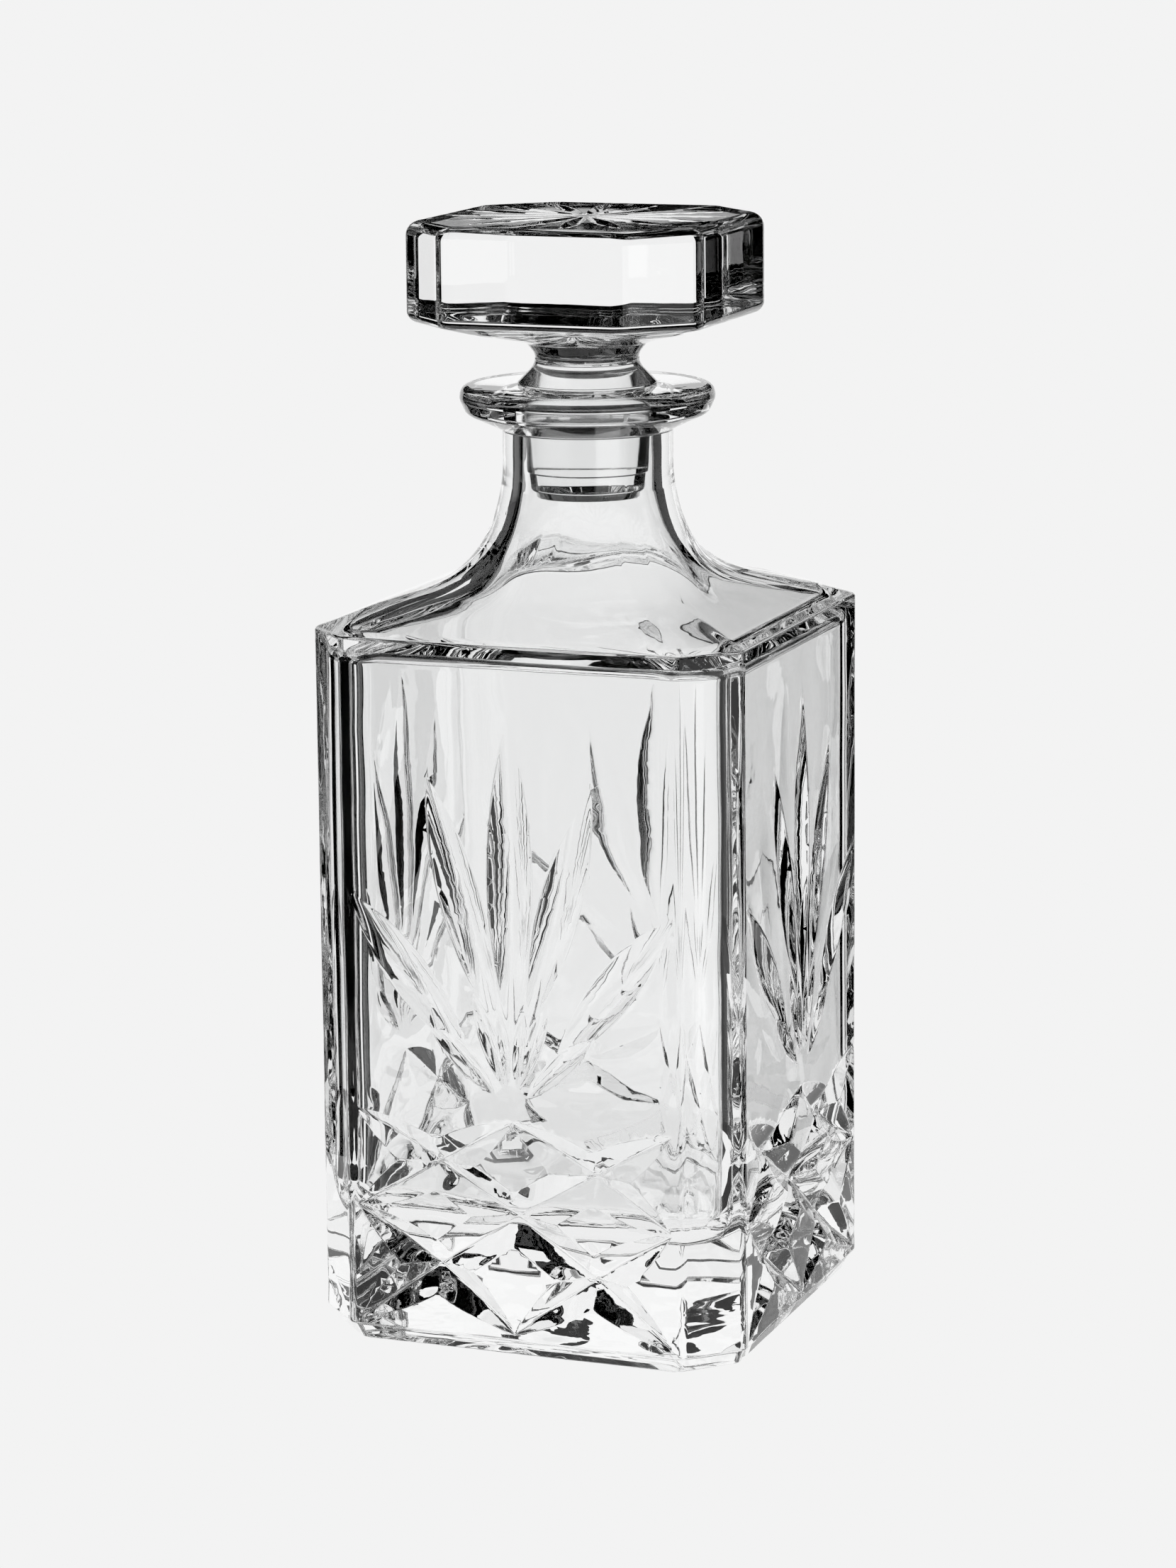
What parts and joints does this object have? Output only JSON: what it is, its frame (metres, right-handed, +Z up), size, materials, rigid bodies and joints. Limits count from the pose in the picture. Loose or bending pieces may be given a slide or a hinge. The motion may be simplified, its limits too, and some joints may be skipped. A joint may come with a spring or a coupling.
{
  "type": "spirit decanter",
  "caption": "Square cut-crystal decanter with bevelled corners, lattice and fan cuts, a round neck with a rolled lip, and a heavy square lift-out glass stopper.",
  "frame": {"origin": "centre of the foot's underside, which is the centre of the bottom of the bounding box", "axes": "+Z up along the neck and stopper, -Y out of a flat front face, +X to its right"},
  "size_m": [0.092, 0.092, 0.2272],
  "materials": {
    "bottle_crystal": "clear pressed and fire-polished crystal glass, with V-cut leaves",
    "stopper_crystal": "clear solid crystal glass, star cut on top, fine-ground band on the plug"
  },
  "bodies": {
    "bottle": {"bottle": "bottle_crystal"},
    "stopper": {"stopper": "stopper_crystal"}
  },
  "joints": [
    {"name": "stopper_lift", "type": "slide", "parent": "bottle", "child": "stopper", "axis": [0, 0, 1], "range_m": [0, 0.06]}
  ]
}
